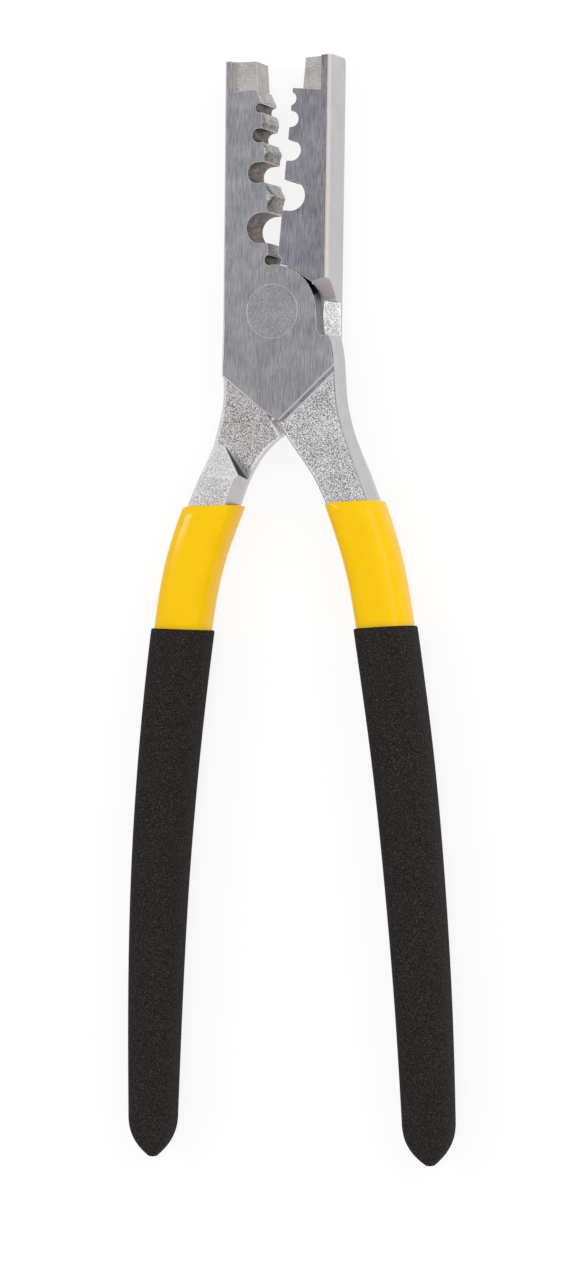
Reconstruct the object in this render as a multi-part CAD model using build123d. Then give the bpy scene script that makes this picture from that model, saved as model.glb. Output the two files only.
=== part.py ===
from build123d import *
import os
from dataclasses import dataclass
from math import atan2, degrees

# Ferrule crimping pliers: two forged halves that cross in a flat lap joint, one flush rivet, and on each
# handle a dipped sleeve under a foam grip.
#
# Each half is drawn closed and in one way: its jaw on the left of the closing line x = 0, its lap in the
# upper half of the head's thickness, its handle on the right. The front half is that drawing turned open
# about the pivot. The rear half is the same drawing turned over about Y, with its own nests and widths.
# The origin is on the pivot axis at the head's back face, +Y points to the jaw tips and +Z to the front.

# Head
HEAD_THICKNESS = 8.6
LAP_PLAY = 0.04
OPEN_ANGLE = 9.0
LAND_GAP = 0.10
ROOT_GAP = 0.36

# Lap joint
LAP_RADIUS = 9.2
LAP_CLEARANCE = 0.15
LAP_STEP_Y = -5.8
LAP_STEP_RADIUS = 1.6
SHOULDER_ANGLE = 114.0
SHOULDER_BEND = (-7.8, 6.35)
SHOULDER_FOOT_Y = 3.1
SHOULDER_END_Y = 3.9
FLANK_TOP_Y = 3.2
FLANK_BOTTOM_Y = -5.0
FACET_LENGTH = 3.8
FACET_START_X = 7.9
FACET_START_Y = 6.4
FACET_TURN = 21.0
RELIEF_Y = 10.15
RELIEF_RADIUS = 1.05

# Ground faces of the head end in a V above the handle roots
V_SIDE_Y = -11.9
V_SIDE_FLARE = 1.05
V_KNEE = (-3.5, -19.4)
V_POINT = (0.1, -21.9)
V_CHAMFER = 0.35
FORGED_DROP = 0.25
BEAD_RADIUS = 0.3
BEAD_HEIGHT = 0.16
BEAD_GAP = 0.85
BEAD_END_GAP = 0.9

# Jaws
NOSE_Y = 44.25
NOSE_RECESS = 1.2
LIP_RADIUS = 0.3
JAW_FOOT_Y = -1.0
TOOTH_ROOT = 0.5
TOOTH_END_HEIGHT = 0.2
TOOTH_END_CREST = 0.36

# Rivet
RIVET_SHANK_RADIUS = 4.0
RIVET_HEAD_RADIUS = 5.45
RIVET_HEAD_DEPTH = 1.2
RIVET_PLAY = 0.05

# Handles
HANDLE_END_Y = -169.9
REAR_HANDLE_EXTRA = 1.0
OUTER_DRAFT = 0.9
INNER_DRAFT = 1.0
EDGE_POINTS = 7
RAMP_LEAD = 0.6
TANG_HALF_WIDTH = 3.7
TANG_END_HALF_WIDTH = 2.4
TANG_END_THICKNESS = 5.6
TANG_START = 3.0
TANG_END_GAP = 14.0
TANG_STEPS = 4

# Sleeves and grips
COVER_LEAD = 4.0
COVER_STEPS = 6
COVER_CROWDING = 1.6
BULLET_STEPS = 4
SLEEVE_TOP_Y = -38.9
SLEEVE_SIDE_WALL = 1.8
SLEEVE_FACE_WALL = 1.25
SLEEVE_CORNER = 3.4
GRIP_TOP_Y = -64.3
GRIP_SIDE_WALL = 0.5
GRIP_FACE_WALL = 0.9
GRIP_CORNER = 4.4
GRIP_END_WALL = 2.5
END_NARROWING = 1.95
TAPER_POWER = 2.2
BULLET_LENGTH = 9.5
POINT_WIDTH = 1.2
POINT_POWER = 2.7

MID = HEAD_THICKNESS / 2
CUT_PAST = 1.0
FAR = 400.0
TOLERANCE = 1e-3


@dataclass
class Nest:
    """A half-round crimping nest: where it lies on the closing line, half its mouth, and its depth."""
    y: float
    half_width: float
    depth: float


@dataclass
class Tooth:
    """A wedge tooth on the land between two nests: its height, its hipped ends and its flat crest."""
    height: float
    hip: float
    crest: float


@dataclass
class Half:
    """What one half has for itself, in the closed drawing.

    The jaw's side runs from head_width at the pivot to tip_width at tip_y. The nose, above the last land,
    is set in by nose_inset and ground thinner but for the rim. foot_inset, flank_rise and step_flat shape
    the lap joint: how far the shoulder's foot stands in from the jaw's side, how high the lap's flank rises
    there, and the flat of the step beyond its rounding. cover_turn slants the sleeve's and grip's tops.
    """
    tip_width: float
    head_width: float
    tip_y: float
    tip_inner_y: float
    nose_inset: float
    nose_lead: float
    rim: float
    tip_radius: float
    edge_radius: float
    foot_inset: float
    flank_rise: float
    step_flat: float
    cover_turn: float
    neck_top: tuple
    neck_foot: tuple
    root_outer: list
    root_inner: list
    handle_line: list
    nests: list
    teeth: list

    @property
    def step_end(self):
        """Where the step beside the lap meets the root's outer edge."""
        return (LAP_RADIUS + LAP_STEP_RADIUS + self.step_flat, LAP_STEP_Y)


FRONT = Half(tip_width=7.1, head_width=10.55, tip_y=50.5, tip_inner_y=50.0, nose_inset=0.9, nose_lead=2.3,
             rim=1.3, tip_radius=0.3, edge_radius=0.4, foot_inset=0.4, flank_rise=1.5, step_flat=0.9,
             cover_turn=0.0, neck_top=(10.4, -27.3), neck_foot=(5.8, -33.3),
             root_outer=[(12.4, -12.0), (12.45, -18.7), (13.7, -25.7), (17.5, -38.0), (19.2, -44.0)],
             root_inner=[V_POINT, (2.95, -27.3), (6.4, -32.7), (9.1, -38.9), (11.3, -45.0)],
             handle_line=[(13.5, -38.3), (16.85, -50.5), (18.9, -66.4), (20.8, -90.0), (21.9, -115.0),
                          (22.3, -141.0), (21.9, HANDLE_END_Y)],
             nests=[Nest(40.5, 0.9, 1.2), Nest(35.05, 1.4, 2.2), Nest(27.7, 2.07, 3.6),
                    Nest(16.65, 3.06, 4.5)],
             teeth=[Tooth(0.5, 0.6, 1.1), Tooth(0.85, 0.8, 0.3), Tooth(1.25, 1.2, 0.2)])
REAR = Half(tip_width=7.7, head_width=12.0, tip_y=51.4, tip_inner_y=50.5, nose_inset=1.75, nose_lead=0.0,
            rim=2.3, tip_radius=2.2, edge_radius=1.1, foot_inset=1.95, flank_rise=3.0, step_flat=0.1,
            cover_turn=3.5, neck_top=(8.7, -27.9), neck_foot=(3.7, -33.6),
            root_outer=[(10.1, -13.0), (9.6, -20.8), (10.4, -25.6), (12.4, -34.4), (13.9, -38.5),
                        (15.4, -44.0)],
            root_inner=[(-2.2, -24.0), (0.2, -26.0), (3.5, -30.8), (5.3, -35.5), (6.2, -39.0),
                        (8.3, -45.0)],
            handle_line=[(9.85, -38.2), (13.2, -50.6), (14.7, -66.9), (15.1, -90.0), (14.6, -115.4),
                         (13.1, -141.0), (10.7, HANDLE_END_Y - REAR_HANDLE_EXTRA)],
            nests=[Nest(42.1, 1.27, 1.0), Nest(38.1, 1.55, 1.85), Nest(31.9, 2.02, 2.95),
                   Nest(23.0, 2.97, 4.7)],
            teeth=[])


def slab(face, low, high):
    """The face, which lies in the XY plane, as a solid from one height to another."""
    return Pos(0, 0, low) * extrude(face, high - low)


def outline(*curves):
    """A face inside curves that join end to end."""
    return make_face([edge for curve in curves for edge in curve.edges()])


def jaw_side_x(half, y):
    """Where the jaw's straight outer side lies at this height."""
    return -half.head_width + (half.head_width - half.tip_width) * y / half.tip_y


def nest_face(nest):
    """A nest's outline, open over the closing line: a round bottom, with straight walls if it is deep."""
    if nest.depth > nest.half_width + LIP_RADIUS:
        centre_x = nest.half_width - nest.depth
        walls = Rectangle(nest.depth, 2 * nest.half_width, align=(Align.MIN, Align.CENTER))
        return Pos(centre_x, nest.y) * (Circle(nest.half_width) + walls)
    radius = (nest.half_width ** 2 + nest.depth ** 2) / (2 * nest.depth)
    return Pos(radius - nest.depth, nest.y) * Circle(radius)


def jaw_face(half, bottom):
    """The jaw from the given lower points up to its nose, with its nests cut."""
    land_x = -LAND_GAP / 2
    root_x = -ROOT_GAP / 2
    last = half.nests[-1]
    points = [
        (root_x, last.y),
        (land_x, last.y),
        (land_x, NOSE_Y - half.nose_lead),
        (-half.nose_inset, NOSE_Y),
        (-half.nose_inset, half.tip_inner_y),
        (-half.tip_width, half.tip_y),
    ]
    face = make_face(Polyline(*bottom, *points, close=True))
    for nest in half.nests:
        face -= nest_face(nest)
    if not half.teeth:
        on_land = [v for v in face.vertices() if abs(v.X - land_x) < TOLERANCE]
        lips = [v for v in on_land if last.y + TOLERANCE < v.Y < NOSE_Y - LIP_RADIUS]
        face = fillet(lips, LIP_RADIUS)
    return face


def lap_face(half):
    """The lap layer: the jaw, the round lap and the ground V, as far as the step of the handle's root."""
    foot = (jaw_side_x(half, JAW_FOOT_Y), JAW_FOOT_Y)
    v_side = (-half.head_width - V_SIDE_FLARE, V_SIDE_Y)
    jaw = jaw_face(half, [foot, v_side, V_KNEE, V_POINT, (-ROOT_GAP / 2, 0)])
    step = Vector(LAP_RADIUS, LAP_STEP_Y)
    lap = outline(
        CenterArc((0, 0), LAP_RADIUS, 0, 90),
        Polyline((LAP_RADIUS, 0), step, half.step_end, half.root_outer[0], V_POINT, foot, (0, LAP_RADIUS)),
    )
    corner = [v for v in lap.vertices() if (Vector(v) - step).length < TOLERANCE]
    return jaw + fillet(corner, LAP_STEP_RADIUS) - relief_face()


def relief_face():
    """The round hole at the root of the jaws, half of it in each."""
    return Pos(0, RELIEF_Y) * Circle(RELIEF_RADIUS)


def far_jaw_face(half):
    """The jaw's other layer, above the shoulder that the other half's lap turns under."""
    radius = LAP_RADIUS + LAP_CLEARANCE
    start = Vector(radius, 0).rotate(Axis.Z, SHOULDER_ANGLE)
    end = (jaw_side_x(half, SHOULDER_END_Y), SHOULDER_END_Y)
    foot = (jaw_side_x(half, SHOULDER_FOOT_Y) + half.foot_inset, SHOULDER_FOOT_Y)
    jaw = jaw_face(half, [end, foot, SHOULDER_BEND, start, (-ROOT_GAP / 2, start.Y)])
    return jaw - Circle(radius) - relief_face()


def nose_recess(half, low, high):
    """What is ground off one face of the nose, leaving a rim along its outer side."""
    top_y = half.tip_y + CUT_PAST
    rim_foot = jaw_side_x(half, NOSE_Y) + half.rim
    rim_top = jaw_side_x(half, top_y) + half.rim
    points = [(rim_foot, NOSE_Y), (CUT_PAST, NOSE_Y), (CUT_PAST, top_y), (rim_top, top_y)]
    return slab(make_face(Polyline(*points, close=True)), low, high)


def tip_corner(half):
    """What is rounded off the tip where it meets the lap's own face."""
    radius = half.tip_radius
    corner = Rectangle(FAR, FAR, align=(Align.MIN, Align.MIN)) - Circle(radius)
    section = Plane.YZ * Pos(half.tip_y - radius, HEAD_THICKNESS - radius) * corner
    return extrude(section, FAR, both=True)


def tooth_section(low_y, high_y, crest_y, crest_x, crest, z):
    """A tooth cut across at one height: a wedge with a flat crest, rooted in the land."""
    land_x = -LAND_GAP / 2
    points = [
        (-TOOTH_ROOT, low_y),
        (land_x, low_y),
        (crest_x, crest_y - crest / 2),
        (crest_x, crest_y + crest / 2),
        (land_x, high_y),
        (-TOOTH_ROOT, high_y),
    ]
    return Pos(0, 0, z) * make_face(Polyline(*points, close=True))


def tooth_solid(tooth, low_y, high_y, crest_y):
    """A wedge with its crest parallel to the pivot, hipped down to a low facet at both faces."""
    end_x = tooth.height * TOOTH_END_HEIGHT
    end_crest = (high_y - low_y) * TOOTH_END_CREST
    ends = [tooth_section(low_y, high_y, crest_y, end_x, end_crest, z) for z in (0, HEAD_THICKNESS)]
    hips = (tooth.hip, HEAD_THICKNESS - tooth.hip)
    middle = [tooth_section(low_y, high_y, crest_y, tooth.height, tooth.crest, z) for z in hips]
    return loft([ends[0], *middle, ends[1]], ruled=True)


def jaw_teeth(half, other):
    """Each tooth fills the land between two nests, its crest in line with the other jaw's nest."""
    teeth = []
    for index, tooth in enumerate(half.teeth):
        above = half.nests[index]
        below = half.nests[index + 1]
        facing = other.nests[index + 1]
        low_y = max(below.y + below.half_width, facing.y - facing.half_width)
        high_y = min(above.y - above.half_width, facing.y + facing.half_width)
        teeth.append(tooth_solid(tooth, low_y, high_y, facing.y))
    return teeth


def shoulder_facet():
    """What is cut off the outer end of the shoulder: a slope from the far face to the lap plane."""
    foot = -FACET_LENGTH
    points = [(0, -CUT_PAST), (0, 0), (foot, MID), (foot - CUT_PAST, MID), (foot - CUT_PAST, -CUT_PAST)]
    section = Plane.YZ * make_face(Polyline(*points, close=True))
    return Pos(-FACET_START_X, FACET_START_Y) * Rot(0, 0, -FACET_TURN) * extrude(section, -FAR)


def lap_flank(half):
    """What is cut off the lap's outer side: a slope from the lap plane towards the lap's own face."""
    side_x = jaw_side_x(half, FLANK_BOTTOM_Y)
    slope = half.flank_rise / (-LAP_RADIUS - side_x)
    outer_x = side_x - CUT_PAST
    top_z = MID + half.flank_rise + CUT_PAST * slope
    points = [(-LAP_RADIUS, MID - CUT_PAST), (-LAP_RADIUS, MID), (outer_x, top_z), (outer_x, MID - CUT_PAST)]
    section = Plane.XZ * make_face(Polyline(*points, close=True))
    return Pos(0, FLANK_TOP_Y, 0) * extrude(section, FLANK_TOP_Y - FLANK_BOTTOM_Y)


def v_bead(half):
    """The thin raised line on the forged root, beside the ground V."""
    edge = Line(V_POINT, half.root_outer[0])
    middle_z = HEAD_THICKNESS - FORGED_DROP + BEAD_HEIGHT - BEAD_RADIUS
    along = Plane(origin=edge @ 0 + Vector(0, 0, middle_z), x_dir=edge % 0, z_dir=(0, 0, 1))
    length = edge.length - 2 * BEAD_END_GAP
    rod = Cylinder(BEAD_RADIUS, length, align=(Align.CENTER, Align.CENTER, Align.MIN))
    return along * Pos(BEAD_END_GAP, -BEAD_GAP, 0) * Rot(0, 90, 0) * rod


def handle_edge(points, draft):
    """An edge of the handle, moved out by the draft along its normals."""
    curve = Spline(*points)
    moved = []
    for step in range(EDGE_POINTS):
        position = curve.position_at(step / (EDGE_POINTS - 1))
        direction = curve.tangent_at(step / (EDGE_POINTS - 1))
        moved.append((position.X - direction.Y * draft, position.Y + direction.X * draft))
    return Spline(*moved)


def station(line, distance):
    """A plane across the centre line at a distance along it, its X across the handle."""
    position = line.position_at(distance, position_mode=PositionMode.LENGTH)
    tangent = line.tangent_at(distance, position_mode=PositionMode.LENGTH)
    across = Vector(-tangent.Y, tangent.X, 0)
    return Plane(origin=(position.X, position.Y, MID), x_dir=across, z_dir=tangent)


def root_layer(half, draft_out, draft_in, z):
    """The root and neck of the handle as a face at one height."""
    outer = handle_edge([half.step_end, *half.root_outer], draft_out)
    inner = handle_edge(half.root_inner, -draft_in)
    return Pos(0, 0, z) * outline(outer, Line(outer @ 1, inner @ 1), inner, Line(inner @ 0, outer @ 0))


def handle_root(half):
    """The forged root and neck, drafted from the lap plane to both faces. The neck is half as thick: the
    far half starts below it at a slanting wall and rises on a ramp."""
    middle = root_layer(half, OUTER_DRAFT, INNER_DRAFT, MID)
    near = loft([middle, root_layer(half, 0, 0, HEAD_THICKNESS - FORGED_DROP)], ruled=True)
    far = loft([middle, root_layer(half, 0, 0, FORGED_DROP)], ruled=True)
    top_x, top_y = half.neck_top
    foot_x, foot_y = half.neck_foot
    turn = degrees(atan2(foot_y - top_y, foot_x - top_x))
    wall = Pos(top_x, top_y) * Rot(0, 0, turn) * Rectangle(FAR, FAR, align=(Align.CENTER, Align.MIN))
    far &= slab(wall, -FAR, MID + CUT_PAST)
    start_y = top_y + RAMP_LEAD
    ramp = make_face(Polyline((FAR, MID), (start_y, MID), (foot_y, FORGED_DROP), (foot_y, -FAR), (FAR, -FAR),
                              close=True))
    far -= extrude(Plane.YZ * ramp, FAR, both=True)
    return near + far


def tang(half):
    """The steel inside the sleeve, tapering to its end."""
    line = Spline(*half.handle_line)
    length = line.length - TANG_START - TANG_END_GAP
    thickness = HEAD_THICKNESS - 2 * FORGED_DROP
    sections = []
    for step in range(TANG_STEPS + 1):
        share = step / TANG_STEPS
        half_width = TANG_HALF_WIDTH + (TANG_END_HALF_WIDTH - TANG_HALF_WIDTH) * share
        height = thickness + (TANG_END_THICKNESS - thickness) * share
        sections.append(station(line, TANG_START + length * share) * Rectangle(2 * half_width, height))
    return loft(sections)


def outer_edges(body, half):
    """The long edges of the jaw's outer side, on both faces."""
    found = []
    for edge in body.edges():
        ends = [edge @ 0, edge @ 1]
        along = all(abs(end.X - jaw_side_x(half, end.Y)) < TOLERANCE for end in ends)
        flat = abs(ends[0].Z - ends[1].Z) < TOLERANCE
        if along and flat and edge.length > LAP_RADIUS:
            found.append(edge)
    return found


def lap_layer(half):
    """The lap layer as a solid, with the edge of its ground V broken."""
    layer = slab(lap_face(half), MID + LAP_PLAY / 2, HEAD_THICKNESS)
    top = layer.edges().group_by(Axis.Z)[-1]
    return chamfer([edge for edge in top if edge.center().Y < V_SIDE_Y], V_CHAMFER)


def half_solid(half, other):
    """One half, closed and in its own drawing position."""
    body = lap_layer(half) + slab(far_jaw_face(half), 0, MID + LAP_PLAY / 2)
    body -= shoulder_facet()
    body -= lap_flank(half)
    body = fillet(outer_edges(body, half), half.edge_radius)
    for tooth in jaw_teeth(half, other):
        body += tooth
    body -= nose_recess(half, HEAD_THICKNESS - NOSE_RECESS, HEAD_THICKNESS + CUT_PAST)
    body -= nose_recess(half, -CUT_PAST, NOSE_RECESS)
    body -= tip_corner(half)
    return body + handle_root(half) + v_bead(half) + tang(half)


def rivet_form(play):
    """The rivet, larger by a running clearance: a shank with a countersunk head flush with each face."""
    foot_align = (Align.CENTER, Align.CENTER, Align.MIN)
    shank = Cylinder(RIVET_SHANK_RADIUS + play, HEAD_THICKNESS, align=foot_align)
    foot = Cone(RIVET_HEAD_RADIUS + play, RIVET_SHANK_RADIUS + play, RIVET_HEAD_DEPTH, align=foot_align)
    head = Pos(0, 0, HEAD_THICKNESS) * Rot(180, 0, 0) * foot
    return shank + foot + head


def covering(half, side_wall, face_wall, corner, top_y, end_gap):
    """A round-cornered body round the tang, level at its top and pointed like a bullet at its end."""
    line = Spline(*half.handle_line)
    width = 2 * (TANG_HALF_WIDTH + side_wall)
    thickness = HEAD_THICKNESS - 2 * FORGED_DROP + 2 * face_wall
    straight = line.length - BULLET_LENGTH - end_gap
    point_loss = 1 - POINT_WIDTH / (width - END_NARROWING)

    def section(distance, narrowing, scale):
        sides = [(size - narrowing) * scale for size in (width, thickness)]
        return station(line, distance) * RectangleRounded(*sides, (corner - narrowing / 2) * scale)

    sections = []
    for step in range(COVER_STEPS + 1):
        share = (step / COVER_STEPS) ** COVER_CROWDING
        sections.append(section(straight * share, END_NARROWING * share ** TAPER_POWER, 1))
    for step in range(1, BULLET_STEPS + 1):
        share = step / BULLET_STEPS
        scale = 1 - point_loss * share ** POINT_POWER
        sections.append(section(straight + BULLET_LENGTH * share, END_NARROWING, scale))
    body = extrude(section(0, 0, 1), -COVER_LEAD) + loft(sections, ruled=True)
    below = Rectangle(FAR, FAR, align=(Align.CENTER, Align.MAX))
    below = Pos((line @ 0).X, top_y) * Rot(0, 0, -half.cover_turn) * below
    return body & slab(below, -FAR, FAR)


def sleeve_body(half):
    """The dipped sleeve's outer form."""
    return covering(half, SLEEVE_SIDE_WALL, SLEEVE_FACE_WALL, SLEEVE_CORNER, SLEEVE_TOP_Y, GRIP_END_WALL)


def grip_body(half):
    """The foam grip's outer form, a wall outside the sleeve's."""
    side_wall = SLEEVE_SIDE_WALL + GRIP_SIDE_WALL
    face_wall = SLEEVE_FACE_WALL + GRIP_FACE_WALL
    return covering(half, side_wall, face_wall, GRIP_CORNER, GRIP_TOP_Y, 0)


def turned_over(shape):
    """The same drawing turned over about Y, at mid-thickness."""
    return Pos(0, 0, MID) * Rot(0, 180, 0) * Pos(0, 0, -MID) * shape


def placed(shape, half):
    """A drawn shape in its place on the open pliers."""
    if half is FRONT:
        return Rot(0, 0, OPEN_ANGLE / 2) * shape
    return Rot(0, 0, -OPEN_ANGLE / 2) * turned_over(shape)


def build():
    """Every node's name and solid."""
    front = half_solid(FRONT, REAR) - rivet_form(0)
    rear = half_solid(REAR, FRONT) - rivet_form(RIVET_PLAY)
    nodes = {
        "front_half": placed(front, FRONT),
        "rear_half": placed(rear, REAR),
        "pivot_rivet": rivet_form(0),
    }
    for side, half in (("right", FRONT), ("left", REAR)):
        sleeve = sleeve_body(half)
        nodes[side + "_inner_sleeve"] = placed(sleeve - tang(half) - handle_root(half), half)
        nodes[side + "_outer_grip"] = placed(grip_body(half) - sleeve, half)
    return nodes


os.makedirs("parts", exist_ok=True)
for node, shape in build().items():
    export_step(shape, "parts/" + node + ".step")
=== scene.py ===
import math

import bmesh
import bpy
import numpy as np
from mathutils import Matrix, Vector


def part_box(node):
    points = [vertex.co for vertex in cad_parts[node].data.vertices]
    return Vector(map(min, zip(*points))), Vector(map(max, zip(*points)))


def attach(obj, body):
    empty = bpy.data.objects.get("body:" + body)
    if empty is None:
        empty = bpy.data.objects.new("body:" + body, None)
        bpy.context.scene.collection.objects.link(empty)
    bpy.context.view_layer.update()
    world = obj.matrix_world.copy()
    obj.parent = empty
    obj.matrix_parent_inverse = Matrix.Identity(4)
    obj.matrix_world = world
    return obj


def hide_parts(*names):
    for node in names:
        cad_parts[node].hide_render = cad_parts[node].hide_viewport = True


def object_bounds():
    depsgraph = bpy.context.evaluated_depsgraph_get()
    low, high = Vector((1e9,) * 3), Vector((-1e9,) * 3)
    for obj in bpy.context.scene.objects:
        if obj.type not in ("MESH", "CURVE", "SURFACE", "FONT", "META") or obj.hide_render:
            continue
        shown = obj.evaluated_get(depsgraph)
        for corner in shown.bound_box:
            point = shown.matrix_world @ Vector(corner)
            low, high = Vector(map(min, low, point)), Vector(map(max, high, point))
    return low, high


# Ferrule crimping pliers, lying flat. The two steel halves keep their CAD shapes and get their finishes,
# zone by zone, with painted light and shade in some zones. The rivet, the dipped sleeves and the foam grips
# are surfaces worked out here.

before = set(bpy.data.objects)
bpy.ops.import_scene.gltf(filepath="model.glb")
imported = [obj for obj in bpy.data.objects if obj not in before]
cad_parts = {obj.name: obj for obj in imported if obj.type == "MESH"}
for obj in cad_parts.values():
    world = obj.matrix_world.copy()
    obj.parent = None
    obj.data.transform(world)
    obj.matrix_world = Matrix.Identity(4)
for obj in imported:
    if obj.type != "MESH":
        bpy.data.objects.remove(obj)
cad_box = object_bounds()

MM = 0.001
HALF_OPEN = math.radians(4.5)
HEAD_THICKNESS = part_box("pivot_rivet")[1].z
# The right handle belongs to the front half, and the left one to the rear half
BODY_OF = {"right": "front", "left": "rear"}

# Each handle's centre line in mm, in its own half's drawing: closed, the front half's way round
HANDLE_LINES = {
    "right": [(13.5, -38.3), (16.85, -50.5), (18.9, -66.4), (20.8, -90.0), (21.9, -115.0), (22.3, -141.0),
              (21.9, -169.9)],
    "left": [(9.85, -38.2), (13.2, -50.6), (14.7, -66.9), (15.1, -90.0), (14.6, -115.4), (13.1, -141.0),
             (10.7, -170.9)],
}
# Each cover's top edge: its level in mm, and how many degrees it falls away outwards
SLEEVE_TOP = {"right": (-38.8, 0.4), "left": (-39.5, 6.9)}
GRIP_TOP = {"right": (-63.9, 0.0), "left": (-64.4, 3.5)}
# A cover's half width and half thickness, its wall, what it stops short of its line's end, and the power
# that rounds its section
SLEEVE_SIZES = {"wide": 5.5 * MM, "thick": 5.3 * MM, "wall": 1.1 * MM, "end_gap": 2.5 * MM, "exponent": 2.9}
GRIP_SIZES = {"wide": 6.0 * MM, "thick": 6.15 * MM, "wall": 0.45 * MM, "end_gap": 0.0, "exponent": 2.7}
# What the covers of a side lose of their half width and half thickness by the foot of their straight part
NARROWING = {"right": 0.98 * MM, "left": 1.3 * MM}
NARROWING_POWER = 2.2
# Both ends of a cover: the lip's radius, the length over which the top edge's lean fades, the bullet's
# length and power, the half width it ends in, and where the outer and the inner wall close
LIP = 0.5 * MM
LEAN_FADE = 14 * MM
BULLET_LENGTH = 9.5 * MM
BULLET_POWER = 2.7
POINT = 0.6 * MM
TIP_GAP = 0.15 * MM
PLUG = 2 * MM
AROUND_COVER = 96
SPLINE_PLACES = 4000

# The rivet: its ends stand a hair proud, and its rims, painted bright, start at a radius
RIVET_RADIUS = 5.45 * MM
RIVET_PROUD = 0.015 * MM
RIVET_WAIST = 3.99 * MM
RIVET_HEAD_DEPTH = 1.2 * MM
RIM_START = 5.31 * MM
AROUND_RIVET = 144


# ---------------------------------------------------------------- frames

def to_drawing(points, side):
    """Points of a half at rest, taken back to that half's closed drawing: unturned, and the rear one turned
    over about Y at mid-thickness."""
    angle = -HALF_OPEN if side == "right" else HALF_OPEN
    c, s = math.cos(angle), math.sin(angle)
    x = points[:, 0] * c - points[:, 1] * s
    y = points[:, 0] * s + points[:, 1] * c
    z = points[:, 2]
    if side == "left":
        x = -x
        z = HEAD_THICKNESS - z
    return np.stack([x, y, z], axis=1)


def from_drawing(points, side):
    """The way back: from the closed drawing to the half at rest."""
    x, y, z = points[..., 0], points[..., 1], points[..., 2]
    angle = HALF_OPEN
    if side == "left":
        x = -x
        z = HEAD_THICKNESS - z
        angle = -HALF_OPEN
    c, s = math.cos(angle), math.sin(angle)
    return np.stack([x * c - y * s, x * s + y * c, z], axis=-1)


# ---------------------------------------------------------------- materials

def linear(code):
    """An sRGB hex colour as linear RGBA."""
    parts = [int(code[i:i + 2], 16) / 255 for i in (1, 3, 5)]
    return [p / 12.92 if p <= 0.04045 else ((p + 0.055) / 1.055) ** 2.4 for p in parts] + [1.0]


def add(tree, kind, inputs=None, **settings):
    """Adds a node with its settings. Each input is a socket to link or a value to set."""
    made = tree.nodes.new(kind)
    for name, value in settings.items():
        setattr(made, name, value)
    for key, value in (inputs or {}).items():
        if isinstance(value, bpy.types.NodeSocket):
            tree.links.new(value, made.inputs[key])
        else:
            made.inputs[key].default_value = value
    return made


def put(name, data):
    """A new object in the scene."""
    piece = bpy.data.objects.new(name, data)
    bpy.context.scene.collection.objects.link(piece)
    return piece


def new_material(name):
    """An empty material, its node tree and its object coordinates."""
    material = bpy.data.materials.new(name)
    material.use_nodes = True
    tree = material.node_tree
    tree.nodes.clear()
    place = add(tree, "ShaderNodeTexCoord").outputs["Object"]
    return material, tree, place


def close(tree, inputs):
    """Ends a material with a principled shader of these inputs."""
    shader = add(tree, "ShaderNodeBsdfPrincipled", inputs).outputs["BSDF"]
    add(tree, "ShaderNodeOutputMaterial", {"Surface": shader})


def maths(tree, operation, first, second):
    """Two values added, multiplied or compared."""
    return add(tree, "ShaderNodeMath", {0: first, 1: second}, operation=operation).outputs["Value"]


def ranged(tree, value, source=(0.0, 1.0), target=(0.0, 1.0)):
    """A value carried from one range to another and held inside it."""
    return add(tree, "ShaderNodeMapRange", {"Value": value, "From Min": source[0], "From Max": source[1],
                                            "To Min": target[0], "To Max": target[1]}).outputs["Result"]


def blend(tree, share, under, over):
    """Two colours mixed. The share is how much of the second shows."""
    return add(tree, "ShaderNodeMix", {"Factor": share, "A": under, "B": over},
               data_type="RGBA").outputs["Result"]


def noise(tree, place, size, detail, roughness=0.5):
    """Noise from 0 to 1 whose largest blots are about a size across."""
    return add(tree, "ShaderNodeTexNoise", {"Vector": place, "Scale": 1 / size, "Detail": detail,
                                            "Roughness": roughness}).outputs["Fac"]


def bumps(tree, height, strength, distance):
    """A surface normal tilted by a height."""
    return add(tree, "ShaderNodeBump", {"Height": height, "Strength": strength,
                                        "Distance": distance}).outputs["Normal"]


# Where the painted highlight, a fine line along an edge, starts and is full, as cosines
HIGHLIGHT_LINE = (0.99, 0.88)
# The same for an uneven painted highlight beside an edge and for the painted line on the edge itself, each
# after its reach in mm
GLINT_BESIDE_EDGE = (1.4, 0.985, 0.955)
PAINTED_EDGE_LINE = (1.4, 0.91, 0.87)


def near_edge(tree, reach, start, full):
    """How near an edge is, from 0 to 1: there the normal, rounded over a reach in mm, leaves the true one.
    The share starts at one cosine of the angle between them and is full at another."""
    rounded = add(tree, "ShaderNodeBevel", {"Radius": reach * MM}, samples=8).outputs["Normal"]
    true = add(tree, "ShaderNodeNewGeometry").outputs["Normal"]
    same = add(tree, "ShaderNodeVectorMath", {0: rounded, 1: true}, operation="DOT_PRODUCT").outputs["Value"]
    return ranged(tree, same, (start, full))


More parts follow.
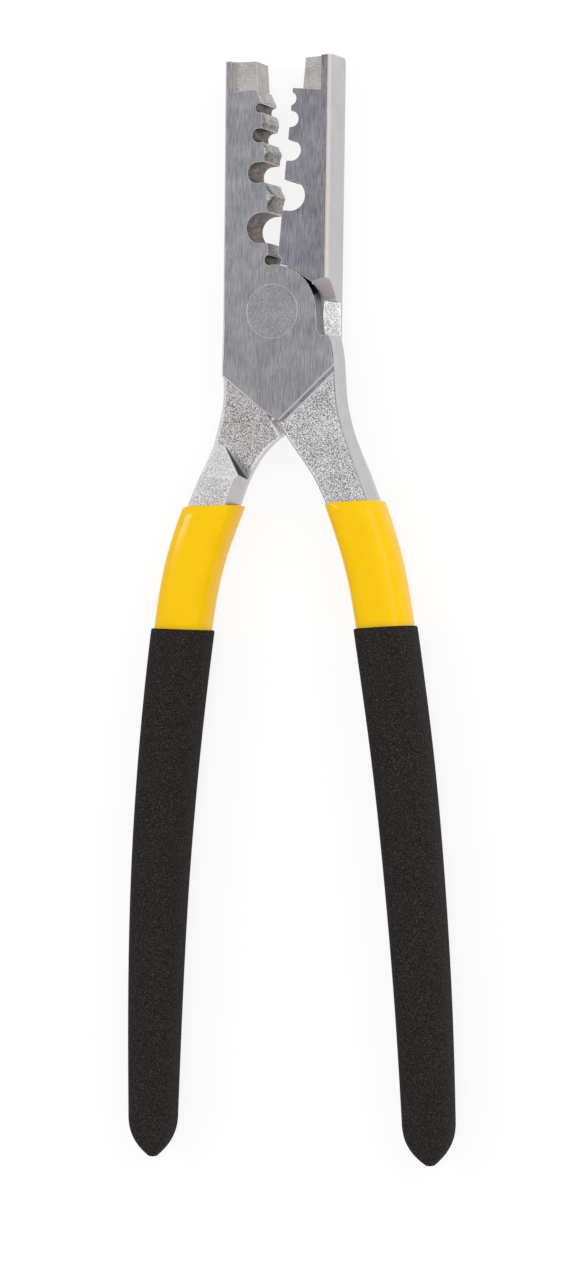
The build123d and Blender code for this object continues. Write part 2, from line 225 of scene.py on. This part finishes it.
def streaked_steel(name, tones, roughness, grain, edge, reach=0.14):
    """Steel ground, brushed or broached one way: fine scratches with slow clouding. grain is their size
    along X, Y and Z in mm. The eye sees faint streaks, and a line in the edge colour within reach mm of an
    edge, mostly a bright painted highlight."""
    material, tree, place = new_material(name)
    laid = add(tree, "ShaderNodeMapping", {"Vector": place, "Scale": [1 / (size * MM) for size in grain]})
    scratch = noise(tree, laid.outputs["Vector"], 1.0, detail=3.0, roughness=0.65)
    cloud = noise(tree, place, 3.5 * MM, detail=4.0, roughness=0.6)
    both = maths(tree, "ADD", scratch, maths(tree, "MULTIPLY", cloud, 0.45))
    dark, light = tones
    colour = blend(tree, ranged(tree, both, (0.52, 0.93)), linear(dark), linear(light))
    # Painted highlight: the edge colour laid where the rounded normal leaves the true one, near each edge
    colour = blend(tree, near_edge(tree, reach, *HIGHLIGHT_LINE), colour, linear(edge))
    rough = ranged(tree, scratch, target=(roughness - 0.08, roughness + 0.08))
    bump = bumps(tree, scratch, strength=0.25, distance=0.02 * MM)
    close(tree, {"Base Color": colour, "Metallic": 1.0, "Roughness": rough, "Normal": bump})
    return material


def blasted_steel(name, tones, grain, roughness, edge):
    """Forged steel, blasted with grit and plated: small pits and peaks, a grain apart in mm, so the eye sees
    a silver surface full of light and dark specks. Along its edges the edge colour is painted, painted shade
    where it is dark and a painted highlight where it is pale, with an uneven white painted highlight beside
    them. The pattern is turned, so that no plane of the steel lies along it."""
    material, tree, place = new_material(name)
    laid = add(tree, "ShaderNodeMapping", {"Vector": place, "Rotation": (0.6, 0.5, 0.3)}).outputs["Vector"]
    pits = noise(tree, laid, grain * MM, detail=2.0, roughness=0.6)
    slow = ranged(tree, noise(tree, laid, 5 * MM, detail=2.0), target=(-0.04, 0.04))
    share = ranged(tree, maths(tree, "ADD", pits, slow), (0.35, 0.65))
    # Painted highlight: uneven white just beside each edge
    glint = maths(tree, "MULTIPLY", near_edge(tree, *GLINT_BESIDE_EDGE), ranged(tree, share, target=(0.35, 1.0)))
    dark, light = tones
    colour = blend(tree, share, linear(dark), linear(light))
    colour = blend(tree, glint, colour, linear("#FFFFFF"))
    # The edge colour painted on the edge itself: painted shade where dark, a painted highlight where pale
    colour = blend(tree, near_edge(tree, *PAINTED_EDGE_LINE), colour, linear(edge))
    bump = bumps(tree, pits, strength=0.5, distance=0.06 * MM)
    close(tree, {"Base Color": colour, "Metallic": 1.0, "Roughness": roughness, "Normal": bump})
    return material


def dipped_vinyl():
    """Soft PVC, dipped: thick, glossy and saturated, with a faint orange-peel swell 4 mm across, so the eye
    sees a deep yellow whose highlights waver a little."""
    material, tree, place = new_material("dipped_vinyl_yellow")
    swell = noise(tree, place, 4 * MM, detail=1.5)
    colour = blend(tree, swell, linear("#F1BB00"), linear("#F4C500"))
    bump = bumps(tree, swell, strength=0.08, distance=0.2 * MM)
    close(tree, {"Base Color": colour, "Roughness": 0.16, "Specular IOR Level": 0.14, "Normal": bump})
    return material


def black_foam():
    """Closed-cell foam rubber: matt black with cells about 0.4 mm across, some cut open and dusty, which
    the eye sees as fine paler specks."""
    material, tree, place = new_material("foam_rubber_black")
    cells = add(tree, "ShaderNodeTexVoronoi", {"Vector": place, "Scale": 1 / (0.45 * MM)}).outputs["Distance"]
    fine = noise(tree, place, 0.17 * MM, detail=2.0, roughness=0.7)
    colour = blend(tree, ranged(tree, fine, (0.52, 0.74)), linear("#171413"), linear("#605A58"))
    bump = bumps(tree, maths(tree, "ADD", cells, fine), strength=0.5, distance=0.1 * MM)
    close(tree, {"Base Color": colour, "Roughness": 0.9, "Specular IOR Level": 0.14, "Normal": bump})
    return material


# ---------------------------------------------------------------- steel

# Each finish below has a name, dark and light tones, a roughness, a grain and the colour painted along its
# edges, a painted highlight where pale and painted shade where dark. A blasted one gives its grain before
# its roughness.
# The head's large faces, ground along the jaws: mid grey with fine, long streaks
GROUND_TONES = {"right": ("#78777E", "#A7A6A9"), "left": ("#68686F", "#9B9A9F")}
GROUND_STEEL = {side: streaked_steel("ground_steel_" + BODY_OF[side] + "_face", tones, 0.42, (0.16, 3, 0.5),
                                     "#DADADC")
                for side, tones in GROUND_TONES.items()}
# The handles' roots, forged, blasted and plated: silver full of dark specks, with a line painted along
# their edges: painted shade on the right root, a painted highlight on the left one
ROOT_LOOKS = {"right": (("#525153", "#F3F2F2"), "#56524F"), "left": (("#5A5756", "#E3DFDE"), "#CFCBC9")}
FORGED_STEEL = {side: blasted_steel("forged_steel_" + BODY_OF[side] + "_root", tones, 0.24, 0.42, edge)
                for side, (tones, edge) in ROOT_LOOKS.items()}
# The rivet's ends, ground flush and speckled, and their rims, turned, whose paler tones are partly painted
# highlight, so they show unevenly bright
RIVET_END = streaked_steel("ground_steel_rivet_end", ("#7C7B81", "#A9A8AC"), 0.42, (0.25, 0.35, 0.35),
                           "#BFBFC2")
RIVET_RIM = streaked_steel("turned_steel_rivet_rim_painted_highlight", ("#8D8C91", "#D6D5D8"), 0.45, (1.6, 1.6, 1.6), "#D2D1D4")
COMMON_STEEL = [
    # Sides milled along the tool: even, with pale, bright tones that are partly painted light
    streaked_steel("milled_steel_side_painted_light", ("#BEBBBE", "#CBC8CB"), 0.4, (0.5, 9, 0.5), "#ECEAEA"),
    # Long edges rounded over and worn: warm and dull, the pale tone partly a painted sheen on the rounding
    streaked_steel("worn_steel_rounded_edge_painted_sheen", ("#C0B9B8", "#CCC5C4"), 0.6, (0.3, 0.3, 0.3), "#E4DEDC"),
    # The noses, ground lower with short strokes across: warm grey with fine marks
    streaked_steel("ground_steel_nose_recess", ("#9C9997", "#C8C5C2"), 0.45, (0.5, 0.2, 0.4), "#F4F2F0"),
    # Nests, broached and left rough: dark and brownish, partly their own unplated colour and partly painted
    # shade
    streaked_steel("broached_steel_nest_painted_shade", ("#40352F", "#988B84"), 0.5, (0.8, 0.8, 2.0), "#D2CCC8"),
    # Wedge teeth, milled: pale and mottled, with bright arrises that are a painted highlight
    streaked_steel("milled_steel_tooth", ("#807C7A", "#D8D5D3"), 0.44, (0.3, 0.4, 0.8), "#FFFFFF", 0.2),
    # The sides of the teeth that face the pivot: the same steel, browner and darker as painted shade
    streaked_steel("milled_steel_tooth_underside_painted_shade", ("#68625E", "#C2BCB8"), 0.48, (0.4, 0.4, 0.8), "#E4E0DD"),
    # The laps' round walls, turned: smooth mid grey with a bright arris that is a painted highlight
    streaked_steel("turned_steel_lap_wall", ("#747276", "#A09EA2"), 0.45, (1.2, 1.2, 0.2), "#F0EEF0", 0.3),
    # The cleft between a lap and the other jaw: nearly black, painted shade
    streaked_steel("steel_lap_cleft_painted_shade", ("#0E0D0E", "#242224"), 0.5, (1.2, 1.2, 0.2), "#9A9A9E"),
    # The necks' steep walls, forged: dark, painted shade
    streaked_steel("forged_steel_neck_wall_painted_shade", ("#363B42", "#5A6169"), 0.5, (0.5, 0.5, 1.5), "#B8BABD"),
    # The groove between the ground face and the bead along its V: a dark line of painted shade
    streaked_steel("steel_v_groove_painted_shade", ("#5F5D61", "#A3A1A5"), 0.5, (0.4, 0.4, 0.4), "#908E92"),
    # The flank beside the lap and the tang under the neck, forged and blasted: silver with few dark specks
    blasted_steel("forged_steel_lap_flank", ("#8F8E8F", "#EEEDEE"), 0.24, 0.5, "#A5A19F"),
    # The necks' ramps, forged and blasted: nearly white, painted light
    blasted_steel("forged_steel_neck_ramp_painted_light", ("#B4B3B4", "#FFFFFF"), 0.24, 0.5, "#E4E2E0"),
]
(GROUND, FORGED, SIDE, ROUNDED, RECESS, NEST, TOOTH, UNDERSIDE, LAP_WALL, CLEFT, NECK_STEP, GROOVE, FLANK,
 RAMP) = range(len(COMMON_STEEL) + 2)


def steel(side):
    """A half's finishes, in the order of the zones."""
    return [GROUND_STEEL[side], FORGED_STEEL[side], *COMMON_STEEL]


def face_places(mesh):
    """The centre, the normal and the area of every face."""
    count = len(mesh.polygons)
    centres = np.empty(count * 3)
    normals = np.empty(count * 3)
    areas = np.empty(count)
    mesh.polygons.foreach_get("center", centres)
    mesh.polygons.foreach_get("normal", normals)
    mesh.polygons.foreach_get("area", areas)
    return centres.reshape(-1, 3), normals.reshape(-1, 3), areas


def on_large_flats(mesh, least):
    """Whether each face lies in a plane of which the mesh has more than the least area. Faces share a plane
    if their normals agree to three places and their offsets to 0.01 mm."""
    centres, normals, areas = face_places(mesh)
    offsets = (centres * normals).sum(axis=1, keepdims=True)
    planes = np.concatenate([normals.round(3), (offsets / MM).round(2)], axis=1)
    _, plane = np.unique(planes, axis=0, return_inverse=True)
    plane = plane.ravel()
    return np.bincount(plane, areas)[plane] > least


# How a half's mesh is joined and shaded. Here the mouth is bounded at rest, with the pivot at the origin
JOINED_WITHIN = 0.5e-6
LARGE_FLAT = 20 * MM * MM
SHARP_ANGLE = math.radians(24)
LEAST_ANGLE = math.radians(0.5)
RESTING_MOUTH_FOOT = 9 * MM
RESTING_MOUTH_SIDE = 6 * MM
UPRIGHT_WITHIN = 0.02 * MM


def merged_copy(node, name):
    """A copy of a CAD node's mesh with its loose triangles joined. Its edges are sharp past 24 degrees, all
    round its large flats, and in the jaws' mouth wherever they don't run along a nest, so that flats and
    wedge teeth stay flat in the light and only curved walls shade smoothly."""
    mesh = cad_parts[node].data.copy()
    if "custom_normal" in mesh.attributes:
        mesh.attributes.remove(mesh.attributes["custom_normal"])
    made = bmesh.new()
    made.from_mesh(mesh)
    bmesh.ops.remove_doubles(made, verts=made.verts, dist=JOINED_WITHIN)
    made.to_mesh(mesh)
    flat = on_large_flats(mesh, LARGE_FLAT)
    for edge in made.edges:
        ends = [vert.co for vert in edge.verts]
        crossing = math.hypot(ends[0].x - ends[1].x, ends[0].y - ends[1].y) > UPRIGHT_WITHIN
        in_mouth = ends[0].y > RESTING_MOUTH_FOOT and abs(ends[0].x) < RESTING_MOUTH_SIDE
        strict = (crossing and in_mouth) or any(flat[face.index] for face in edge.link_faces)
        edge.smooth = edge.calc_face_angle(0) < (LEAST_ANGLE if strict else SHARP_ANGLE)
    for face in made.faces:
        face.smooth = True
    made.to_mesh(mesh)
    made.free()
    piece = put(name, mesh)
    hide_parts(node)
    return piece


# Limits on a face's normal: its share along Z on a flat, the same where slanting faces become steep, its
# share across the neck's wall, and its share along Y on a side that faces the pivot
FLAT_NORMAL = 0.99
STEEP_NORMAL = 0.6
ACROSS_NECK = 0.98
TO_PIVOT = -0.35

# Where the finishes' zones lie in a half's drawing. The closing line is X = 0 and the pivot Y = 0
MOUTH_DEPTH = 6.2 * MM
MOUTH_FOOT = 9.3 * MM
NEST_LIP = 0.3 * MM
NEST_TOP = {"right": 41.6 * MM, "left": 43.6 * MM}
NOSE_FOOT = 44.25 * MM
NOSE_RECESS = 1.2 * MM
LAP_REACH = 12 * MM
LAP_SIDE = 8 * MM
LAP_FOOT = -6.5 * MM
CLEFT_START = 1.5 * MM
CLEFT_FOOT = 2.8 * MM
EDGE_SIDE = 6 * MM
EDGE_FOOT = -1 * MM
FLANK_SIDE = 9 * MM
FLANK_TOP = 3.4 * MM
FLANK_FOOT = -5.2 * MM
FLANK_DEPTH = 1.3 * MM
V_TOP = -5 * MM
V_POINT = (0.1 * MM, -21.9 * MM)
V_RISE = math.radians(39.2)
GROOVE_TOP = -10 * MM
GROOVE_WIDTH = 0.6 * MM
CROTCH_Y = -22 * MM
CROTCH_REACH = 5 * MM
CROTCH_DEPTH = 0.5 * MM
RAMP_TOP = -24 * MM
NECK_TOP = -26 * MM
NECK_FOOT = -35 * MM
# A step along the neck's steep wall, from its top to its foot, in mm
NECK_WALL = {"right": (-4.6, -6.0), "left": (-5.0, -5.7)}
TANG_TOP = -33 * MM
FACE_DEPTH = 0.05 * MM


def finish_zones(mesh, side):
    """Each face's zone, read from its place and direction in the half's drawing. A later line wins over an
    earlier one. Walls are smooth, the large faces ground, and the roots, ramps and flanks forged."""
    centres, normals, _ = face_places(mesh)
    x, y, z = to_drawing(centres, side).T
    ahead = to_drawing(centres + normals * MM, side) - to_drawing(centres, side)
    nx, ny, nz = (ahead / MM).T
    depth = np.minimum(z, HEAD_THICKNESS - z)
    flat = np.abs(nz) > FLAT_NORMAL
    steep = np.abs(nz) < STEEP_NORMAL
    slanting = (np.abs(nz) > STEEP_NORMAL) & ~flat
    wall_x, wall_y = np.array(NECK_WALL[side]) / math.hypot(*NECK_WALL[side])
    across_neck = np.abs(nx * wall_y - ny * wall_x) > ACROSS_NECK
    past_v = (x - V_POINT[0]) * math.sin(V_RISE) - (y - V_POINT[1]) * math.cos(V_RISE)
    in_mouth = (x > -MOUTH_DEPTH) & (y > MOUTH_FOOT) & ~flat
    in_lap = (x > -LAP_SIDE) & (np.hypot(x, y) < LAP_REACH) & (y < MOUTH_FOOT) & (y > LAP_FOOT) & ~flat

    # Faces not zoned below take the side steel, whose pale tones are partly painted light
    zone = np.full(len(x), SIDE)
    zone[in_mouth] = TOOTH
    # Tooth faces turned towards the pivot take the darker copy of the tooth steel: painted shade
    zone[in_mouth & (ny < TO_PIVOT)] = UNDERSIDE
    zone[in_mouth & (y > NOSE_FOOT)] = RECESS
    # Nests take the dark brown steel, partly painted shade
    zone[in_mouth & (x < -NEST_LIP) & (y < NEST_TOP[side])] = NEST
    zone[in_lap] = LAP_WALL
    # The lap wall's upper part, in the cleft, is painted nearly black: painted shade
    zone[in_lap & (x > CLEFT_START) & (y > CLEFT_FOOT)] = CLEFT
    # The necks' steep walls are painted dark: painted shade
    zone[steep & across_neck & (y < NECK_TOP) & (y > NECK_FOOT)] = NECK_STEP
    zone[~flat & (np.hypot(x, y - CROTCH_Y) < CROTCH_REACH) & (depth > CROTCH_DEPTH)] = FORGED
    # Rounded long edges take the worn steel, whose pale tone is partly painted sheen
    zone[slanting & (x < -EDGE_SIDE) & (y > EDGE_FOOT) & ~in_mouth & ~in_lap] = ROUNDED
    zone[slanting & (x < -FLANK_SIDE) & (y < FLANK_TOP) & (y > FLANK_FOOT) & (depth > FLANK_DEPTH)] = FLANK
    zone[flat & (y < V_TOP)] = FORGED
    # The strip beside the V is painted dark: painted shade of the groove
    zone[flat & (z > HEAD_THICKNESS / 2) & (x > 0) & (y < GROOVE_TOP) & (past_v < GROOVE_WIDTH)] = GROOVE
    # Slanting faces low on the neck are painted nearly white: painted light
    zone[slanting & (y < RAMP_TOP)] = RAMP
    zone[flat & (z < HEAD_THICKNESS / 2) & (y < TANG_TOP)] = FLANK
    zone[flat & (depth < FACE_DEPTH)] = GROUND
    zone[flat & (y > NOSE_FOOT) & (depth > NOSE_RECESS / 2)] = RECESS
    return zone


def steel_half(node, side):
    """A half with its finishes."""
    piece = merged_copy(node, node + "_steel")
    piece.data.materials.clear()
    for material in steel(side):
        piece.data.materials.append(material)
    piece.data.polygons.foreach_set("material_index", finish_zones(piece.data, side).astype(np.int32))
    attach(piece, BODY_OF[side])


# ---------------------------------------------------------------- rivet

def turned_skin(name, profile, around):
    """The profile's points (radius, height), turned about the pivot axis in even steps: a closed form whose
    first and last points lie on the axis."""
    radius, height = np.array(profile).T
    turns = np.linspace(0, 2 * math.pi, around, endpoint=False)
    ring = np.stack([np.cos(turns), np.sin(turns)], axis=-1)
    flat = radius[:, None, None] * ring
    level = np.repeat(height[:, None, None], around, axis=1)
    return closed_skin(name, np.concatenate([flat, level], axis=-1))


def rivet_profile():
    """The rivet from the middle of one end to the middle of the other: a flat end, ground flush and standing
    a hair proud, a rounded rim that is painted bright, partly as a highlight, and the countersunk head down
    to the shank."""
    rim, proud = RIVET_RADIUS, RIVET_PROUD
    half = [(0, proud), (0.5 * rim, proud), (rim - 0.15 * MM, proud), (rim - 0.13 * MM, proud),
            (rim - 0.06 * MM, proud - 0.005 * MM), (rim, -0.02 * MM), (rim - 0.04 * MM, -0.06 * MM),
            (RIVET_WAIST, -RIVET_HEAD_DEPTH)]
    top = [(radius, HEAD_THICKNESS + height) for radius, height in half]
    return top + [(radius, -height) for radius, height in reversed(half)]


def rivet():
    """The rivet, its ends speckled and its two rims bright, partly by painted highlight."""
    piece = turned_skin("pivot_rivet_turned", rivet_profile(), AROUND_RIVET)
    piece.data.materials.append(RIVET_END)
    piece.data.materials.append(RIVET_RIM)
    centres = face_places(piece.data)[0]
    # The rims take the paler turned steel, partly painted highlight
    on_rim = np.hypot(centres[:, 0], centres[:, 1]) > RIM_START
    piece.data.polygons.foreach_set("material_index", on_rim.astype(np.int32))
    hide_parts("pivot_rivet")
    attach(piece, "front")


# ---------------------------------------------------------------- sleeves and grips

def spline_through(points):
    """A natural cubic spline through points in mm, over its chord length: the length run at many places on
    it, and the places. Its second derivatives solve the usual tridiagonal system."""
    points = np.array(points) * MM
    knots = np.concatenate([[0], np.cumsum(np.linalg.norm(np.diff(points, axis=0), axis=1))])
    h = np.diff(knots)
    n = len(points)
    system = np.eye(n)
    load = np.zeros((n, 2))
    rows = np.arange(1, n - 1)
    system[rows, rows - 1] = h[:-1]
    system[rows, rows] = 2 * (h[:-1] + h[1:])
    system[rows, rows + 1] = h[1:]
    slope = np.diff(points, axis=0) / h[:, None]
    load[1:-1] = 6 * (slope[1:] - slope[:-1])
    bend = np.linalg.solve(system, load)
    t = np.linspace(0, knots[-1], SPLINE_PLACES)
    k = np.clip(np.searchsorted(knots, t, side="right") - 1, 0, n - 2)
    a = ((knots[k + 1] - t) / h[k])[:, None]
    b = 1 - a
    fine = (a * points[k] + b * points[k + 1]
            + ((a ** 3 - a) * bend[k] + (b ** 3 - b) * bend[k + 1]) * (h[k] ** 2)[:, None] / 6)
    length = np.concatenate([[0], np.cumsum(np.linalg.norm(np.diff(fine, axis=0), axis=1))])
    return length, fine


def along(line, distance):
    """Positions and unit tangents at distances along the line, straight on past its ends."""
    length, fine = line
    inside = np.clip(distance, 0, length[-1])
    step = 0.2 * MM
    place = np.stack([np.interp(inside, length, fine[:, i]) for i in (0, 1)], axis=-1)
    low = np.clip(inside - step, 0, length[-1])
    high = np.clip(inside + step, 0, length[-1])
    run = np.stack([np.interp(high, length, fine[:, i]) - np.interp(low, length, fine[:, i])
                    for i in (0, 1)], axis=-1)
    tangent = run / np.linalg.norm(run, axis=-1, keepdims=True)
    return place + tangent * (distance - inside)[..., None], tangent


def bag(name, side, rows, slant, exponent):
    """A closed skin round the centre line. Each row (distance, half width, half thickness) is a rounded
    section |u/w|^e + |v/t|^e = 1 across the line; the first and last rows are points. Near the top, rows
    lean by slant, which gives the top edge its direction."""
    line = spline_through(HANDLE_LINES[side])
    rows = np.array(rows)
    distance, wide, thick = rows.T
    turns = np.linspace(0, 2 * math.pi, AROUND_COVER, endpoint=False)
    u = np.sign(np.cos(turns)) * np.abs(np.cos(turns)) ** (2 / exponent)
    v = np.sign(np.sin(turns)) * np.abs(np.sin(turns)) ** (2 / exponent)
    top = distance.min()
    lean = slant * np.exp(-((distance - top) / LEAN_FADE) ** 2)
    across_by = wide[:, None] * u
    middle, heading = along(line, np.repeat(distance[:, None], len(turns), axis=1))
    normal = np.stack([-heading[..., 1], heading[..., 0]], axis=-1)
    flat = middle + normal * across_by[..., None] + heading * (across_by * lean[:, None])[..., None]
    height = HEAD_THICKNESS / 2 + thick[:, None] * v
    grid = from_drawing(np.concatenate([flat, height[..., None]], axis=-1), side)
    return closed_skin(name, grid)


def closed_skin(name, grid):
    """A mesh over a grid whose rows close round and whose first and last rows are each one point."""
    rows, around = grid.shape[:2]
    ring = np.arange(around)
    after = (ring + 1) % around
    verts = np.concatenate([grid[:1, 0], grid[1:-1].reshape(-1, 3), grid[-1:, 0]])
    quads = []
    for row in range(rows - 3):
        low = 1 + row * around
        quads.append(np.stack([low + ring, low + after, low + around + after, low + around + ring], axis=1))
    end = len(verts) - 1
    last = 1 + (rows - 3) * around
    caps = [(0, int(1 + b), int(1 + a)) for a, b in zip(ring, after)]
    caps += [(end, int(last + a), int(last + b)) for a, b in zip(ring, after)]
    mesh = bpy.data.meshes.new(name)
    mesh.from_pydata(verts.tolist(), [], np.concatenate(quads).tolist() + caps)
    mesh.polygons.foreach_set("use_smooth", [True] * len(mesh.polygons))
    piece = put(name, mesh)
    made = bmesh.new()
    made.from_mesh(mesh)
    bmesh.ops.recalc_face_normals(made, faces=made.faces)
    made.to_mesh(mesh)
    made.free()
    return piece


def top_distance(side, level, turn):
    """How far along the centre line a cover's top edge crosses it. The edge starts from the level, over the
    line's first point, and falls away outwards by its turn."""
    length, fine = spline_through(HANDLE_LINES[side])
    fall = math.tan(turn) * (fine[:, 0] - fine[0, 0])
    return float(np.interp(-level, -(fine[:, 1] + fall), length))


def cover_rows(side, top, wide, thick, wall, end_gap):
    """The rows of a cover: up the inner wall from its closed end, over a rounded lip, and down the outer
    wall, which narrows slowly along its straight part and then fast, as a bullet, to a blunt point. wall is
    its thickness."""
    length = spline_through(HANDLE_LINES[side])[0][-1] - end_gap
    straight = length - BULLET_LENGTH
    narrowing = NARROWING[side]

    def sizes(distance, inset):
        share = np.clip(distance / straight, 0, 1)
        tip = np.clip((distance - straight) / BULLET_LENGTH, 0, 1)
        loss = (1 - POINT / (wide - narrowing)) * tip ** BULLET_POWER
        return [(size - narrowing * share ** NARROWING_POWER) * (1 - loss) - inset for size in (wide, thick)]

    inner = np.linspace(straight, top + LIP, 30)
    # The bullet's rows crowd towards its end, where it curves most
    outer = np.concatenate([np.linspace(top + LIP, straight, 90)[1:],
                            straight + (BULLET_LENGTH - TIP_GAP) * np.linspace(0, 1, 26)[1:] ** 0.6])
    rows = [(straight + PLUG, 0, 0)]
    rows += [(d, *sizes(d, wall)) for d in inner]
    rows += [(top + LIP - LIP * math.sin(turn), *sizes(top + LIP, wall / 2 * (1 + math.cos(turn))))
             for turn in np.linspace(0, math.pi, 13)[1:-1]]
    rows += [(d, *sizes(d, 0)) for d in outer]
    return rows + [(length, 0, 0)]


def level_slant(side, distance, turn):
    """How far a section leans along the line, per unit across it, for its edge to run level but for its
    turn."""
    tangent = along(spline_through(HANDLE_LINES[side]), np.array([distance]))[1][0]
    level = np.array([math.cos(turn), -math.sin(turn)])
    normal = np.array([-tangent[1], tangent[0]])
    return float(level @ tangent) / float(level @ normal)


def cover(name, side, top_edge, wide, thick, wall, end_gap, exponent):
    """A sleeve or grip. Its top edge is given as a level in mm and a turn in degrees."""
    level, turn = top_edge[side][0] * MM, math.radians(top_edge[side][1])
    top = top_distance(side, level, turn)
    rows = cover_rows(side, top, wide, thick, wall, end_gap)
    return bag(name, side, rows, level_slant(side, top, turn), exponent)


steel_half("front_half", "right")
steel_half("rear_half", "left")
rivet()
vinyl = dipped_vinyl()
foam = black_foam()
for side in ("right", "left"):
    sleeve = cover(side + "_dipped_sleeve", side, SLEEVE_TOP, **SLEEVE_SIZES)
    sleeve.data.materials.append(vinyl)
    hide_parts(side + "_inner_sleeve")
    grip = cover(side + "_foam_grip", side, GRIP_TOP, **GRIP_SIZES)
    grip.data.materials.append(foam)
    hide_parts(side + "_outer_grip")
    for piece in (sleeve, grip):
        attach(piece, BODY_OF[side])


# ---------------------------------------------------------------- floor, light and camera

def white_studio_floor():
    """A pale matt floor that shows white to the camera and in reflections, where four fifths of it are
    light of its own, and still keeps the object's shadow."""
    material, tree, _ = new_material("studio_floor_white")
    path = add(tree, "ShaderNodeLightPath").outputs
    seen = maths(tree, "MAXIMUM", path["Is Camera Ray"], path["Is Glossy Ray"])
    share = maths(tree, "MULTIPLY", seen, 0.8)
    paper = add(tree, "ShaderNodeBsdfDiffuse", {"Color": (0.86, 0.86, 0.86, 1)}).outputs["BSDF"]
    white = add(tree, "ShaderNodeEmission", {"Color": (1, 1, 1, 1), "Strength": 1.05}).outputs["Emission"]
    mixed = add(tree, "ShaderNodeMixShader", {0: share, 1: paper, 2: white}).outputs["Shader"]
    add(tree, "ShaderNodeOutputMaterial", {"Surface": mixed})
    return material


def floor():
    """A square floor, just under the object."""
    reach = 3.0
    level = cad_box[0].z - 0.1 * MM
    corners = [(-reach, -reach, level), (reach, -reach, level), (reach, reach, level), (-reach, reach, level)]
    mesh = bpy.data.meshes.new("studio_floor")
    mesh.from_pydata(corners, [], [(0, 1, 2, 3)])
    mesh.materials.append(white_studio_floor())
    put("studio_floor", mesh)


def studio_world():
    """A pale dome, a little brighter on the right, and plain white where the camera sees it."""
    world = bpy.data.worlds.new("studio")
    bpy.context.scene.world = world
    world.use_nodes = True
    tree = world.node_tree
    tree.nodes.clear()
    direction = add(tree, "ShaderNodeTexCoord").outputs["Generated"]
    sideways = add(tree, "ShaderNodeSeparateXYZ", {"Vector": direction}).outputs["X"]
    dome = blend(tree, ranged(tree, sideways, (-0.8, 0.8)), (0.72, 0.72, 0.74, 1), (1.0, 0.99, 0.98, 1))
    seen = add(tree, "ShaderNodeLightPath").outputs["Is Camera Ray"]
    colour = blend(tree, seen, dome, (1, 1, 1, 1))
    back = add(tree, "ShaderNodeBackground", {"Color": colour, "Strength": 1.0}).outputs["Background"]
    add(tree, "ShaderNodeOutputWorld", {"Surface": back})


def softbox(name, place, aim, size, power):
    """A lamp of the given width and length, its length along Y."""
    light = bpy.data.lights.new(name, "AREA")
    light.shape = "RECTANGLE"
    light.size, light.size_y = size
    light.energy = power
    lamp = put(name, light)
    lamp.location = place
    lamp.rotation_euler = (Vector(aim) - Vector(place)).to_track_quat("-Z", "Y").to_euler()


def camera():
    """The camera stands off the front face, 21.5 degrees to the right, and is rolled a little."""
    aim = Vector((5.92 * MM, -65.07 * MM, HEAD_THICKNESS))
    azimuth = math.radians(21.5)
    roll = math.radians(1.1)
    distance = 800 * MM
    back = Vector((math.sin(azimuth), 0, math.cos(azimuth)))
    right = Vector((math.cos(azimuth), 0, -math.sin(azimuth)))
    up = Vector((0, 1, 0))
    x_axis = right * math.cos(roll) + up * math.sin(roll)
    y_axis = up * math.cos(roll) - right * math.sin(roll)
    data = bpy.data.cameras.new("camera")
    data.sensor_width = 36.0
    data.lens = 113.9
    data.clip_start = 0.01
    eye = put("camera", data)
    turned = Matrix((x_axis, y_axis, back)).transposed().to_4x4()
    eye.matrix_world = Matrix.Translation(aim + back * distance) @ turned
    bpy.context.scene.camera = eye


floor()
studio_world()
softbox("softbox_right", place=(0.55, 0.25, 0.55), aim=(0, -0.05, 0), size=(0.45, 0.45), power=1.6)
softbox("strip_left", place=(-0.62, 0.09, 0.55), aim=(0, -0.05, 0), size=(0.025, 0.4), power=0.9)
camera()
bpy.context.scene.view_settings.view_transform = "Standard"

bpy.context.view_layer.update()
